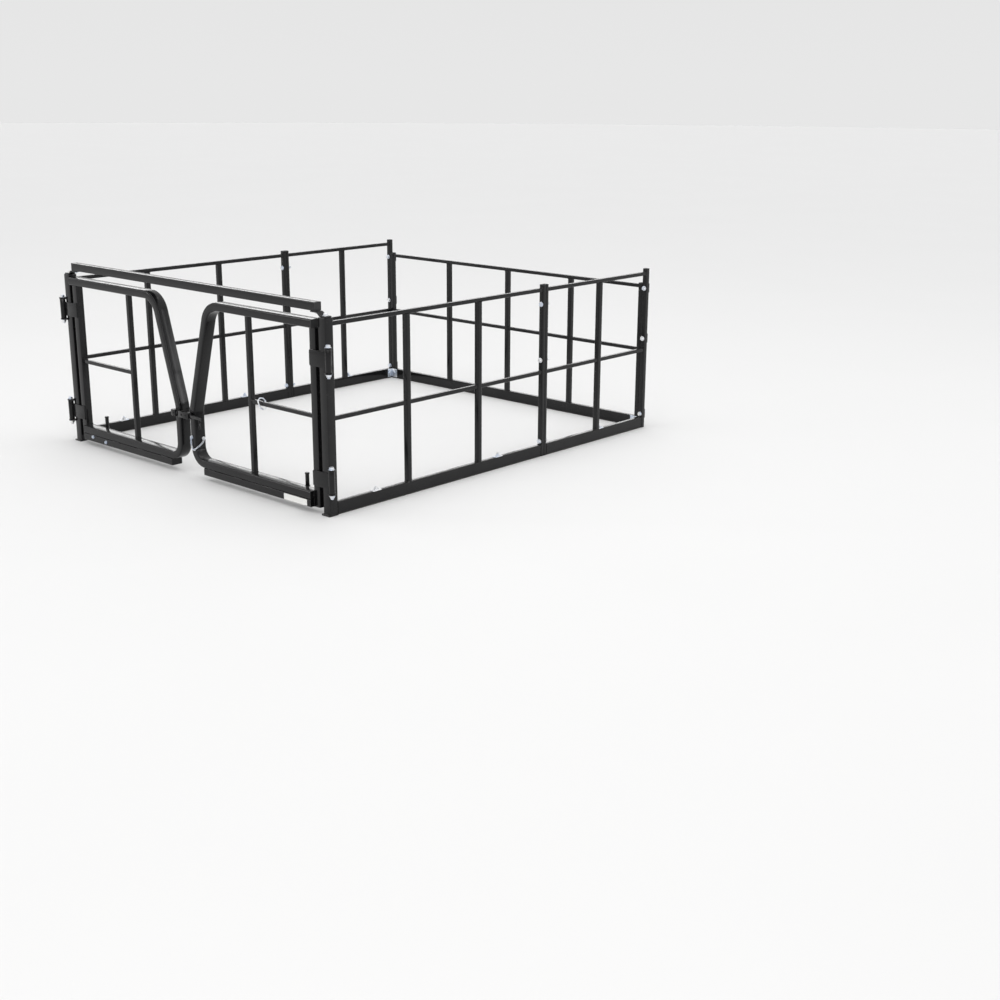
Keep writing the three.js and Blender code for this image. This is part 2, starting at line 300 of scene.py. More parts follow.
class Finish:
    # a material with a Principled shader and the nodes that feed it
    def __init__(self, name, **constants):
        self.material = bpy.data.materials.new(name)
        self.material.use_nodes = True
        self.tree = self.material.node_tree
        self.tree.nodes.clear()
        self.output = self.tree.nodes.new("ShaderNodeOutputMaterial")
        self.shader = self.tree.nodes.new("ShaderNodeBsdfPrincipled")
        self.tree.links.new(self.shader.outputs[0], self.output.inputs[0])
        for key, value in constants.items():
            self.shader.inputs[key.replace("_", " ")].default_value = value
        self.place = self.add("ShaderNodeTexCoord", output="Object")

    def add(self, kind, settings=None, sockets=None, output=0):
        made = self.tree.nodes.new(kind)
        for key, value in (settings or {}).items():
            setattr(made, key, value)
        for key, value in (sockets or {}).items():
            if isinstance(value, Signal):
                self.tree.links.new(value.socket, made.inputs[key])
            else:
                made.inputs[key].default_value = value
        return Signal(self.tree, made.outputs[output])

    def noise(self, scale, detail=2.0, roughness=0.5, stretch=None):
        place = self.place
        if stretch:
            place = self.add("ShaderNodeMapping", None, {"Vector": place, "Scale": stretch})
        sockets = {"Vector": place, "Scale": scale, "Detail": detail, "Roughness": roughness}
        return self.add("ShaderNodeTexNoise", None, sockets)

    def band(self, value, low, high):
        # 0 below low, 1 above high, smooth between
        sockets = {"Value": value, "From Min": low, "From Max": high}
        return self.add("ShaderNodeMapRange", {"interpolation_type": "SMOOTHSTEP"}, sockets)

    def blendColours(self, mask, first, second):
        # a mix of two colours or links to colours
        made = self.tree.nodes.new("ShaderNodeMix")
        made.data_type = "RGBA"
        for place, value in ((0, mask), (6, first), (7, second)):
            if isinstance(value, Signal):
                self.tree.links.new(value.socket, made.inputs[place])
            else:
                made.inputs[place].default_value = value
        return Signal(self.tree, made.outputs[2])

    def bump(self, height, strength, distance, after=None):
        sockets = {"Height": height, "Strength": strength, "Distance": distance}
        if after is not None:
            sockets["Normal"] = after
        return self.add("ShaderNodeBump", None, sockets)

    def feed(self, **links):
        for key, value in links.items():
            self.tree.links.new(value.socket, self.shader.inputs[key.replace("_", " ")])
        return self.material


def upwards(finish):
    # 1 on faces that look up, for dust
    normal = finish.add("ShaderNodeTexCoord", output="Normal")
    return finish.band(finish.add("ShaderNodeSeparateXYZ", None, {"Vector": normal}, "Z"), 0.55, 0.95)


def makeBlackPaint():
    plan = {
        "black": (0.0035, 0.0035, 0.004, 1),
        "thin": (0.009, 0.009, 0.0095, 1),     # where the coat is thinner
        "dust": (0.055, 0.053, 0.049, 1),
        "steel": (0.23, 0.22, 0.21, 1),        # worn spots on edges
        "peel": 620,                           # orange peel, features a metre
    }
    paint = Finish("glossBlackPaint", Metallic=0.0, IOR=1.30, Coat_Roughness=0.06, Coat_IOR=1.30)
    cloudy = paint.noise(7, 3, 0.55)
    fine = paint.noise(95, 3, 0.6)
    peel = paint.noise(plan["peel"], 1, 0.4)
    scuffs = paint.band(paint.noise(60, 4, 0.7, (1, 1, 9)), 0.60, 0.72)
    edges = paint.add("ShaderNodeNewGeometry", output="Pointiness")
    worn = paint.band(edges, 0.56, 0.64) * paint.band(fine, 0.60, 0.70)
    dust = upwards(paint) * paint.band(paint.noise(34, 4, 0.65), 0.42, 0.75) * 0.35
    colour = paint.blendColours(paint.band(cloudy, 0.35, 0.7) * 0.6, plan["black"], plan["thin"])
    colour = paint.blendColours(dust, colour, plan["dust"])
    colour = paint.blendColours(worn * 0.5, colour, plan["steel"])
    roughness = 0.10 + cloudy * 0.08 + fine * 0.05 + scuffs * 0.12 + dust * 0.25 + worn * 0.15
    lacquer = (0.35 - dust * 0.6 - worn * 0.3).clamped()
    surface = paint.bump(peel, 0.10, 0.0006)
    surface = paint.bump(scuffs, 0.06, 0.0003, surface)
    return paint.feed(Base_Color=colour, Roughness=roughness, Coat_Weight=lacquer, Normal=surface)


def makeBrightZinc():
    plan = {
        "silver": (0.80, 0.81, 0.83, 1),
        "straw": (0.78, 0.74, 0.62, 1),
        "blue": (0.62, 0.68, 0.78, 1),
        "dull": (0.36, 0.36, 0.36, 1),
    }
    zinc = Finish("brightZinc", Metallic=1.0)
    cloudy = zinc.noise(55, 3, 0.6)
    tint = zinc.noise(22, 2, 0.5)
    grain = zinc.noise(900, 3, 0.6, (1, 1, 0.2))
    stains = zinc.band(zinc.noise(160, 4, 0.65), 0.60, 0.74)
    colour = zinc.blendColours(zinc.band(tint, 0.40, 0.62), plan["blue"], plan["silver"])
    colour = zinc.blendColours(zinc.band(cloudy, 0.52, 0.72) * 0.5, colour, plan["straw"])
    colour = zinc.blendColours(stains * 0.45, colour, plan["dull"])
    roughness = 0.20 + cloudy * 0.12 + grain * 0.08 + stains * 0.18
    return zinc.feed(Base_Color=colour, Roughness=roughness, Normal=zinc.bump(grain, 0.12, 0.0002))


def makeMouldedPlastic():
    plastic = Finish("mouldedPlastic", Metallic=0.0, IOR=1.46)
    grain = plastic.noise(1400, 2, 0.5)
    cloudy = plastic.noise(40, 3, 0.6)
    dust = upwards(plastic) * plastic.band(cloudy, 0.45, 0.7) * 0.3
    colour = plastic.blendColours(cloudy, (0.012, 0.012, 0.013, 1), (0.026, 0.026, 0.027, 1))
    colour = plastic.blendColours(dust, colour, (0.10, 0.097, 0.09, 1))
    roughness = 0.46 + cloudy * 0.14 + dust * 0.2
    return plastic.feed(Base_Color=colour, Roughness=roughness, Normal=plastic.bump(grain, 0.35, 0.0002))


def makeRubber():
    rubber = Finish("stripRubber", Metallic=0.0, IOR=1.5)
    grain = rubber.noise(700, 3, 0.6)
    cloudy = rubber.noise(18, 3, 0.6)
    colour = rubber.blendColours(cloudy, (0.016, 0.016, 0.016, 1), (0.040, 0.039, 0.037, 1))
    roughness = 0.72 + grain * 0.16
    return rubber.feed(Base_Color=colour, Roughness=roughness, Normal=rubber.bump(grain, 0.4, 0.0003))


def makeLabelFace():
    face = Finish("labelWhite", Metallic=0.0, IOR=1.5, Coat_Roughness=0.12)
    cloudy = face.noise(38, 3, 0.6)
    specks = face.band(face.noise(420, 2, 0.6), 0.66, 0.74)
    colour = face.blendColours(cloudy, (0.86, 0.86, 0.84, 1), (0.74, 0.74, 0.71, 1))
    colour = face.blendColours(specks * 0.4, colour, (0.34, 0.33, 0.31, 1))
    roughness = 0.34 + cloudy * 0.14 + specks * 0.2
    lacquer = (0.5 - specks * 0.4).clamped()
    return face.feed(Base_Color=colour, Roughness=roughness, Coat_Weight=lacquer,
                     Normal=face.bump(cloudy, 0.05, 0.0004))


def makeFloorFinish():
    pale = Finish("paleFloor", Metallic=0.0)
    cloudy = pale.noise(0.8, 2, 0.5)
    colour = pale.blendColours(cloudy, (0.79, 0.79, 0.79, 1), (0.81, 0.81, 0.81, 1))
    return pale.feed(Base_Color=colour, Roughness=0.7 + cloudy * 0.1)


finishes = {              # material and slot
    "paint": (makeBlackPaint(), "black_paint"),
    "zinc": (makeBrightZinc(), "zinc"),
    "plastic": (makeMouldedPlastic(), "black_paint"),
    "rubber": (makeRubber(), "black_paint"),
    "label": (makeLabelFace(), "label"),
}
addCamera(cameraPlan)
addFloor(floorPlan).data.materials.append(makeFloorFinish())
addLights(lightPlan)
addSky(floorPlan)
bpy.context.scene.view_settings.view_transform = "Standard"
print("camera, floor, lights and finishes made")


# ---- blocks and square tubes

def addBlock(name, low, high):
    low, high = Vector(low), Vector(high)
    deselectAll()
    bpy.ops.mesh.primitive_cube_add(size=1, location=(low + high) / 2)
    block = named(bpy.context.object, name)
    block.scale = high - low
    return settle(block)


def addRod(name, radius, place, length, sides):
    # an upright cylinder about the middle place
    deselectAll()
    bpy.ops.mesh.primitive_cylinder_add(vertices=sides, radius=radius, depth=length, location=place)
    return settle(named(bpy.context.object, name))


def along(axis):
    # a test for edges that run along an axis
    return lambda first, second: abs((second - first).normalized()[axis]) > 0.99


def facing(axis, sign=1):
    # a test for faces that look one way along an axis
    return lambda centre, normal: normal[axis] * sign > 0.99


def endsOf(axis):
    # a test for the two end faces of a straight piece
    return lambda centre, normal: abs(normal[axis]) > 0.99


tubePlan = {
    "corner": 0.0026,    # outside corner radius
    "cornerSteps": 4,
    "endBevel": 0.0005,
}


def addTube(name, low, high, axis=None):
    low, high = Vector(low), Vector(high)
    size = high - low
    if axis is None:
        axis = max(range(3), key=lambda k: size[k])
    tube = addBlock(name, low, high)
    bevelEdges(tube, along(axis), tubePlan["corner"], tubePlan["cornerSteps"])
    bevelRim(tube, endsOf(axis), tubePlan["endBevel"], 1)
    smoothEdges(tube)
    return tube


capPlan = {
    "flange": 0.0022,
    "lip": 0.0022,       # corner radius of the flange
}


def addEndCap(name, low, high, axis, end):
    # a plug in the end of a tube: a rounded flange with a raised, dished middle
    low, high = Vector(low), Vector(high)
    thick = capPlan["flange"]
    flangeLow, flangeHigh = low.copy(), high.copy()
    if end > 0:
        flangeLow[axis] = high[axis] - thick
    else:
        flangeHigh[axis] = low[axis] + thick
    cap = addBlock(name, flangeLow, flangeHigh)
    bevelEdges(cap, along(axis), capPlan["lip"], 4)
    outside = facing(axis, end)
    bevelRim(cap, outside, 0.0007, 2)
    pick(cap, "faces", outside)
    bpy.ops.mesh.inset(thickness=0.0012)
    push = Vector((0, 0, 0))
    push[axis] = -0.0009 * end
    extrudeBy(*push)
    leaveEdit()
    smoothEdges(cap, 40)
    return cap


# ---- weld beads

beadPlan = {
    "radius": 0.0021,
    "pitch": 0.0052,
    "waist": 0.72,       # how far a bead narrows between its ripples
}
beadMasters = {}


def beadRing(width, height):
    # a rippled bead round a section of that size, in the XY plane about the origin
    key = ("ring", round(width, 4), round(height, 4))
    if key in beadMasters:
        return beadMasters[key]
    deselectAll()
    bpy.ops.mesh.primitive_plane_add(size=1)
    ring = named(bpy.context.object, f"beadRing_{len(beadMasters)}")
    ring.scale = (width, height, 1)
    settle(ring)
    pick(ring, "corners", lambda place: True)
    bpy.ops.mesh.bevel(offset=0.0022, segments=1, affect="VERTICES")
    bpy.ops.mesh.select_all(action="SELECT")
    bpy.ops.mesh.delete(type="ONLY_FACE")
    leaveEdit()
    for side, length in ((0, width), (1, height)):
        pick(ring, "edges", along(side))
        bpy.ops.mesh.subdivide(number_cuts=2 * max(1, int(length / beadPlan["pitch"] / 2)))
        leaveEdit()
    choose(ring)
    bpy.ops.object.convert(target="CURVE")
    for number, point in enumerate(ring.data.splines[0].points):
        point.radius = beadPlan["waist"] if number % 2 else 1.0
    ring.data.dimensions = "3D"
    ring.data.bevel_depth = beadPlan["radius"]
    ring.data.bevel_resolution = 1
    bpy.ops.object.convert(target="MESH")
    pointOutwards(ring)
    smoothEdges(ring, 60)
    beadMasters[key] = ring
    return ring


def beadLine(length):
    # a straight rippled bead along Z, about the origin
    key = ("line", round(length, 4))
    if key in beadMasters:
        return beadMasters[key]
    deselectAll()
    bpy.ops.mesh.primitive_cylinder_add(vertices=8, radius=beadPlan["radius"], depth=length)
    line = named(bpy.context.object, f"beadLine_{len(beadMasters)}")
    pick(line, "edges", along(2))
    bpy.ops.mesh.subdivide(number_cuts=2 * max(1, int(length / beadPlan["pitch"] / 2)) + 1)
    leaveEdit()
    levels = sorted({round(corner.co.z, 5) for corner in line.data.vertices})
    pick(line, "corners", lambda place: round(place.z, 5) in levels[::2])
    growAbout((0, 0, 0), beadPlan["waist"])
    leaveEdit()
    smoothEdges(line, 60)
    beadMasters[key] = line
    return line


def quarterTurn(axis):
    return Matrix.Rotation(radians(90), 4, axis)


faceTurns = (quarterTurn("Z") @ quarterTurn("X"), quarterTurn("X"), None)
lineTurns = (quarterTurn("Y"), quarterTurn("X"), None)


def ringAt(axis, place, width, height):
    # the ring's plane is square to the axis; width and height follow X, Y, Z in that order
    return copyAt(beadRing(width, height), place, faceTurns[axis])


def lineAt(axis, place, length):
    return copyAt(beadLine(length), place, lineTurns[axis])


def ringsAtEnds(low, high, axis, ends=(0, 1), inset=0.0):
    # beads round one or both ends of a tube
    rings = []
    size = high - low
    across = [k for k in range(3) if k != axis]
    for end in ends:
        place = (low + high) / 2
        place[axis] = (low, high)[end][axis] + (inset if end == 0 else -inset)
        rings.append(ringAt(axis, place, size[across[0]], size[across[1]]))
    return rings


# ---- bolts, nuts and washers

boltPlan = {
    "panel": {"corner": 0.0090, "head": 0.0062, "washer": 0.0104, "shank": 0.0048, "tail": 0.006},
    "hinge": {"corner": 0.0098, "head": 0.0076, "washer": 0.0124, "shank": 0.0058, "tail": 0.005},
    "small": {"corner": 0.0062, "head": 0.0042, "washer": 0.0076, "shank": 0.0031, "tail": 0.003},
}
washerThickness = 0.0018
boltMasters = {}


def hexBlank(name, corner, height):
    # a hexagon whose top corners are turned to a chamfer
    blank = addRod(name, corner, (0, 0, height / 2), height, 6)
    drop = 0.15 * corner
    turned = addRod("turnedRim", corner * 1.01, (0, 0, height / 2 - drop), height, 40)
    pick(turned, "faces", facing(2))
    extrudeBy(0, 0, drop)
    growAbout((0, 0, height), 0.80)
    leaveEdit()
    pick(turned, "faces", facing(2, -1))
    bpy.ops.transform.translate(value=(0, 0, -0.002))
    leaveEdit()
    applyModifier(blank, "BOOLEAN", operation="INTERSECT", object=turned, solver="EXACT")
    bpy.data.objects.remove(turned)
    pick(blank, "faces", lambda centre, normal: True)
    bpy.ops.mesh.remove_doubles(threshold=0.00003)
    bpy.ops.mesh.dissolve_limited(angle_limit=radians(1.5))
    leaveEdit()
    return blank


def washerDisc(name, radius, thickness, low):
    disc = addRod(name, radius, (0, 0, low + thickness / 2), thickness, 36)
    bevelRim(disc, endsOf(2), thickness * 0.25, 2)
    return disc


def threadEnd(name, radius, low, high, pitch=0.0014):
    # the end of a threaded shank: rings of thread and a chamfered tip
    shank = addRod(name, radius, (0, 0, (low + high) / 2), high - low, 24)
    pick(shank, "edges", along(2))
    bpy.ops.mesh.subdivide(number_cuts=2 * int((high - low) / pitch) + 1)
    leaveEdit()
    levels = sorted({round(corner.co.z, 6) for corner in shank.data.vertices})
    pick(shank, "corners", lambda place: round(place.z, 6) in levels[::2])
    growAbout((0, 0, 0), 0.84)
    leaveEdit()
    return shank


def boltHead(kind):
    # head and washer on the plane z = 0, pointing to +Z
    if ("head", kind) in boltMasters:
        return boltMasters["head", kind]
    plan = boltPlan[kind]
    head = hexBlank(f"headBlank_{kind}", plan["corner"], plan["head"])
    pick(head, "faces", facing(2))
    bpy.ops.mesh.inset(thickness=plan["corner"] * 0.12)
    extrudeBy(0, 0, -0.0004)
    leaveEdit()
    head.data.transform(Matrix.Translation((0, 0, washerThickness)))
    washer = washerDisc("washer", plan["washer"], washerThickness, 0)
    whole = joinedAs(f"boltHead_{kind}", [head, washer])
    smoothEdges(whole, 30)
    boltMasters["head", kind] = whole
    return whole


def boltNut(kind):
    # washer, lock nut with its collar, and the end of the thread, on the plane z = 0
    if ("nut", kind) in boltMasters:
        return boltMasters["nut", kind]
    plan = boltPlan[kind]
    nut = hexBlank(f"nutBlank_{kind}", plan["corner"], plan["head"])
    pick(nut, "faces", facing(2))
    bpy.ops.mesh.inset(thickness=plan["corner"] * 0.10)
    extrudeBy(0, 0, 0.0016)
    bpy.ops.mesh.inset(thickness=0.0006)
    bpy.ops.transform.translate(value=(0, 0, 0.0003))
    bpy.ops.mesh.inset(thickness=plan["corner"] * 0.14)
    extrudeBy(0, 0, -0.0006)
    leaveEdit()
    nut.data.transform(Matrix.Translation((0, 0, washerThickness)))
    washer = washerDisc("washer", plan["washer"], washerThickness, 0)
    top = washerThickness + plan["head"] + 0.0016
    tail = threadEnd("tail", plan["shank"], top - 0.003, top + plan["tail"])
    whole = joinedAs(f"boltNut_{kind}", [nut, washer, tail])
    smoothEdges(whole, 30)
    boltMasters["nut", kind] = whole
    return whole


def pointing(direction):
    # the turn that takes +Z to a direction
    return Vector(direction).to_track_quat("Z", "Y").to_matrix().to_4x4()


def headAt(place, direction, kind="panel"):
    return copyAt(boltHead(kind), place, pointing(direction))


def nutAt(place, direction, kind="panel"):
    return copyAt(boltNut(kind), place, pointing(direction))


print("bolts, beads and tubes ready")


# ---- side panels

sidePlan = {
    "strip": 0.004,                       # rubber under the bottom rails
    "boltLevels": (0.064, 0.417, 0.653),
    "tabLevels": (0.064, 0.417, 0.646),
    "clampPlaces": (-0.709, -0.019, 0.660),
    "clampSize": (0.021, 0.044, 0.0032),
}


def nodeTube(node, body="frame", lift=0.0, name=None, plug=False):
    # a painted tube in the place of a node, its foot lifted and its top cut for a plug
    low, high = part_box(node)
    low.z += lift
    if plug:
        high.z -= capPlan["flange"]
    tube = addTube(name or f"{node}_tube", low, high)
    return finishPiece(tube, body, "paint", node)


def addSide(side):
    beads, bolts, caps, strips = [], [], [], []
    for section in ("rear", "front"):
        stem = f"{side}_{section}"
        for rail in ("top_rail", "middle_rail", "bottom_rail"):
            node = f"{stem}_{rail}"
            lift = sidePlan["strip"] if rail == "bottom_rail" else 0.0
            nodeTube(node, lift=lift)
            low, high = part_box(node)
            low.z += lift
            beads += ringsAtEnds(low, high, 1, inset=0.0008)
            if rail == "bottom_rail":
                strips.append(addBlock("strip", (low.x + 0.001, low.y + 0.004, 0.0),
                                       (high.x - 0.001, high.y - 0.004, lift + 0.0004)))
        for number in ((1, 2) if section == "rear" else (1,)):
            node = f"{stem}_bar_{number}"
            nodeTube(node)
            low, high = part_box(node)
            beads += ringsAtEnds(low, high, 2)
            railLow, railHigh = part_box(f"{stem}_middle_rail")
            for face in (low.y, high.y):
                place = ((low.x + high.x) / 2, face, (railLow.z + railHigh.z) / 2)
                beads.append(ringAt(1, place, railHigh.x - railLow.x, railHigh.z - railLow.z))
        for upright in ("splice_upright",) if section == "rear" else ("splice_upright", "end_upright"):
            node = f"{stem}_{upright}"
            nodeTube(node, plug=True)
            caps.append(addEndCap("cap", *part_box(node), 2, 1))
    rearLow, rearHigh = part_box(f"{side}_rear_splice_upright")
    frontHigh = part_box(f"{side}_front_splice_upright")[1]
    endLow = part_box(f"{side}_front_end_upright")[0]
    middle = (rearLow.x + rearHigh.x) / 2
    for level in sidePlan["boltLevels"]:
        bolts.append(headAt((middle, rearLow.y, level), (0, -1, 0)))
        bolts.append(nutAt((middle, frontHigh.y, level), (0, 1, 0)))
    for level in sidePlan["tabLevels"]:
        bolts.append(headAt((middle, endLow.y, level), (0, -1, 0)))
    railLow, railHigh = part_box(f"{side}_rear_bottom_rail")
    wide, long, thick = sidePlan["clampSize"]
    for y in sidePlan["clampPlaces"]:
        pad = addBlock("clampPad", (middle - wide / 2, y - long / 2, railHigh.z),
                       (middle + wide / 2, y + long / 2, railHigh.z + thick))
        bevelEdges(pad, along(2), 0.004, 4)
        bevelRim(pad, facing(2), 0.0006, 2)
        smoothEdges(pad)
        bolts += [pad, nutAt((middle, y, railHigh.z + thick), (0, 0, 1))]
    for strip in strips:
        bevelEdges(strip, along(1), 0.001, 2)
    finishJoined(f"{side}_panel_welds", beads, "frame", "paint")
    finishJoined(f"{side}_panel_bolts", bolts, "frame", "zinc")
    finishJoined(f"{side}_panel_caps", caps, "frame", "plastic")
    finishJoined(f"{side}_rubber_strips", strips, "frame", "rubber")


for side in sideSigns:
    addSide(side)
print("side panels made")


# ---- front panel

tabPlan = {"thick": 0.004, "half": 0.022, "tip": 0.0046}
cleatPlan = {"leg": 0.030, "reach": 0.042, "height": 0.044, "thick": 0.0035, "low": 0.006}


def addFront():
    beads, caps, cleats = [], [], []
    for rail in ("top_rail", "middle_rail", "bottom_rail"):
        node = f"front_{rail}"
        lift = sidePlan["strip"] if rail == "bottom_rail" else 0.0
        nodeTube(node, lift=lift)
        low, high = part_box(node)
        low.z += lift
        beads += ringsAtEnds(low, high, 0, inset=0.0008)
    bottomLow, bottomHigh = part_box("front_bottom_rail")
    strip = addBlock("front_rubber_strip", (bottomLow.x + 0.004, bottomLow.y + 0.001, 0.0),
                     (bottomHigh.x - 0.004, bottomHigh.y - 0.001, sidePlan["strip"] + 0.0004))
    bevelEdges(strip, along(0), 0.001, 2)
    finishPiece(strip, "frame", "rubber")
    railLow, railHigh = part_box("front_middle_rail")
    for number in (1, 2, 3):
        node = f"front_bar_{number}"
        nodeTube(node)
        low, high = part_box(node)
        beads += ringsAtEnds(low, high, 2)
        for face in (low.x, high.x):
            place = (face, (low.y + high.y) / 2, (railLow.z + railHigh.z) / 2)
            beads.append(ringAt(0, place, railHigh.y - railLow.y, railHigh.z - railLow.z))
    for side, sign in sideSigns.items():
        node = f"front_{side}_upright"
        low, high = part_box(node)
        sideLow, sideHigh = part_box(f"{side}_front_end_upright")
        if sign > 0:
            tubeLow = Vector((bottomHigh.x + 0.0003, bottomLow.y, 0))
        else:
            tubeLow = Vector((bottomLow.x - 0.0223, bottomLow.y, 0))
        tubeHigh = tubeLow + Vector((0.022, 0.022, high.z - capPlan["flange"]))
        parts = [addTube("tube", tubeLow, tubeHigh, 2)]
        capHigh = Vector((tubeHigh.x, tubeHigh.y, high.z))
        caps.append(addEndCap("cap", tubeLow, capHigh, 2, 1))
        for level in sidePlan["tabLevels"]:
            rim = sideOf(sideLow, sideHigh, sign) - sign * 0.001
            edges = sorted((tubeLow.x + 0.011 - sign * 0.009, rim))
            tab = addBlock("tab", (edges[0], high.y - tabPlan["thick"], level - tabPlan["half"]),
                           (edges[1], high.y, level + tabPlan["half"]))
            bevelEdges(tab, along(1), 0.004, 4)
            bevelRim(tab, facing(1), 0.0006, 2)
            smoothEdges(tab)
            parts.append(tab)
            tip = threadEnd("tip", tabPlan["tip"], -0.002, 0.0)
            middle = (sideLow.x + sideHigh.x) / 2
            cleats.append(copyAt(tip, (middle, high.y - 0.0002, level), pointing((0, 1, 0))))
            bpy.data.objects.remove(tip)
        upright = joinedAs(f"{node}_tube", parts)
        finishPiece(upright, "frame", "paint", node)
        cleats += addCleat(sign, bottomLow, sideLow, sideHigh)
    finishJoined("front_panel_welds", beads, "frame", "paint")
    finishJoined("front_panel_caps", caps, "frame", "plastic")
    finishJoined("front_corner_cleats", cleats, "frame", "zinc")


def addCleat(sign, bottomLow, sideLow, sideHigh):
    # an angle in the inside corner, bolted to the side rail and to the front panel
    plan = cleatPlan
    inner = sideOf(sideLow, sideHigh, -sign)
    back = bottomLow.y - 0.0002
    foot, head = plan["low"], plan["low"] + plan["height"]
    sidePlate = sorted((inner, inner - sign * plan["thick"]))
    frontPlate = sorted((inner, inner - sign * plan["reach"]))
    parts = [
        addBlock("leg", (sidePlate[0], back - plan["leg"], foot), (sidePlate[1], back, head)),
        addBlock("leg", (frontPlate[0], back - plan["thick"], foot), (frontPlate[1], back, head)),
    ]
    bevelRim(parts[0], facing(0, -sign), 0.0008, 2)
    bevelRim(parts[1], facing(1, -1), 0.0008, 2)
    for leg in parts:
        smoothEdges(leg)
    middle = (foot + head) / 2
    share = 0.62         # how far along its leg each bolt stands
    sideSpot = (inner - sign * plan["thick"], back - plan["leg"] * share, middle)
    frontSpot = (inner - sign * plan["reach"] * share, back - plan["thick"], middle)
    parts.append(headAt(sideSpot, (-sign, 0, 0)))
    parts.append(headAt(frontSpot, (0, -1, 0)))
    return parts


addFront()
print("front panel made")


# ---- bent tubes

def bentTube(name, start, corners, wide, deep, rounding, steps=4.5):
    # A tube whose centreline starts at a point and follows corners (x, z, bend radius) in the
    # XZ plane. The section is wide in that plane and deep along Y.
    first = Vector((start[0], start[2]))
    second = Vector(corners[0][:2])
    heading = (second - first).normalized()
    deselectAll()
    lean = Vector((heading.x, 0, heading.y)).to_track_quat("Z", "Y")
    bpy.ops.mesh.primitive_plane_add(size=1, location=start, rotation=lean.to_euler())
    tube = named(bpy.context.object, name)
    acrossDeep = abs((lean @ Vector((1, 0, 0))).y) > 0.5
    tube.scale = (deep, wide, 1) if acrossDeep else (wide, deep, 1)
    settle(tube)
    pick(tube, "corners", lambda place: True)
    bpy.ops.mesh.bevel(offset=rounding, segments=tubePlan["cornerSteps"], affect="VERTICES")
    leaveEdit()
    pick(tube, "faces", lambda centre, normal: True)
    here = first
    for number, (x, z, radius) in enumerate(corners):
        corner = Vector((x, z))
        into = (corner - here).normalized()
        if number == len(corners) - 1:
            shift = corner - here
            extrudeBy(shift.x, 0, shift.y)
            break
        out = (Vector(corners[number + 1][:2]) - corner).normalized()
        turn = into.angle(out)
        side = 1 if into.x * out.y - into.y * out.x > 0 else -1
        run = radius * tan(turn / 2)
        bend = corner - into * run
        shift = bend - here
        extrudeBy(shift.x, 0, shift.y)
        centre = bend + Vector((-into.y, into.x)) * radius * side
        bpy.ops.mesh.spin(steps=max(2, ceil(turn / radians(steps))), dupli=False, angle=turn * side,
                          center=(centre.x, start[1], centre.y), axis=(0, 1, 0))
        here = corner + out * run
    leaveEdit()
    pointOutwards(tube)
    smoothEdges(tube)
    return tube


def flipForLeft(tube, sign):
    if sign < 0:
        tube.scale = (-1, 1, 1)
        settle(tube)
        pointOutwards(tube)
        smoothEdges(tube)


# ---- gates

gatePlan = {
    "wide": 0.032,           # the bent tube in the gate's plane
    "slantTop": 0.1735,      # where the slanting run's line meets the top run's
    "knee": 0.282,
    "topBend": 0.085,
    "kneeBend": 0.090,
    "bottomBend": 0.060,
    "rounding": 0.0052,      # the bent tube's section has generous corners
    "seamShares": (0.08, 0.34, 0.62, 0.88),
    "seamLength": 0.045,
    "seamInset": 0.0008,     # from the tube's face to a bead's line
}


def addGate(side):
    sign = sideSigns[side]
    body = f"{side}_gate"
    beads, caps = [], []
    bowLow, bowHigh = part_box(f"{side}_gate_bow")
    wide, deep = gatePlan["wide"], bowHigh.y - bowLow.y
    middleY = (bowLow.y + bowHigh.y) / 2
    topZ, runZ = bowHigh.z - wide / 2, bowLow.z + wide / 2
    stileLow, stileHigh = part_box(f"{side}_gate_hinge_stile")
    inner, outer = sorted((abs(bowLow.x), abs(bowHigh.x)))
    inner += wide / 2
    stileInner = min(abs(stileLow.x), abs(stileHigh.x))
    plugged = outer - capPlan["flange"]
    corners = [
        (gatePlan["slantTop"], topZ, gatePlan["topBend"]),
        (inner, gatePlan["knee"], gatePlan["kneeBend"]),
        (inner, runZ, gatePlan["bottomBend"]),
        (stileInner - touchGap, runZ, 0),
    ]
    bow = bentTube(f"{side}_gate_bow_tube", (plugged, middleY, topZ), corners, wide, deep,
                   gatePlan["rounding"])
    flipForLeft(bow, sign)
    finishPiece(bow, body, "paint", f"{side}_gate_bow")
    ends = sorted((sign * plugged - sign * 0.03, sign * outer))
    capLow = (ends[0], bowLow.y, topZ - wide / 2)
    capHigh = (ends[1], bowHigh.y, topZ + wide / 2)
    caps.append(addEndCap("cap", capLow, capHigh, 0, sign))
    for part, axis in (("hinge_stile", 2), ("bar", 2), ("middle_rail", 0), ("sill_bar", 0)):
        node = f"{side}_gate_{part}"
        low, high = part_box(node)
        nodeTube(node, body)
        if part == "hinge_stile":
            beads += ringsAtEnds(low, high, axis, (1,))
        elif part == "sill_bar":
            hingeEnd = 1 if sign > 0 else 0
            low.y = stileLow.y
            beads += ringsAtEnds(low, high, axis, (hingeEnd,), 0.0008)
        else:
            beads += ringsAtEnds(low, high, axis, inset=0.0006)
    place = (sign * (stileInner - 0.001), (stileLow.y + stileHigh.y) / 2, runZ)
    beads.append(ringAt(0, place, wide, wide))
    sillLow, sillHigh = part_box(f"{side}_gate_sill_bar")
    sillInner, sillOuter = sorted((abs(sillLow.x), abs(sillHigh.x)))
    for y in (bowLow.y + gatePlan["seamInset"], bowHigh.y - gatePlan["seamInset"]):
        for share in gatePlan["seamShares"]:
            x = sign * (sillInner + (sillOuter - sillInner) * share)
            beads.append(lineAt(0, (x, y, bowLow.z), gatePlan["seamLength"]))
    for level in ("lower", "upper"):
        beads += addHinge(side, level, body)
    finishJoined(f"{side}_gate_welds", beads, body, "paint")
    finishJoined(f"{side}_gate_cap", caps, body, "plastic")


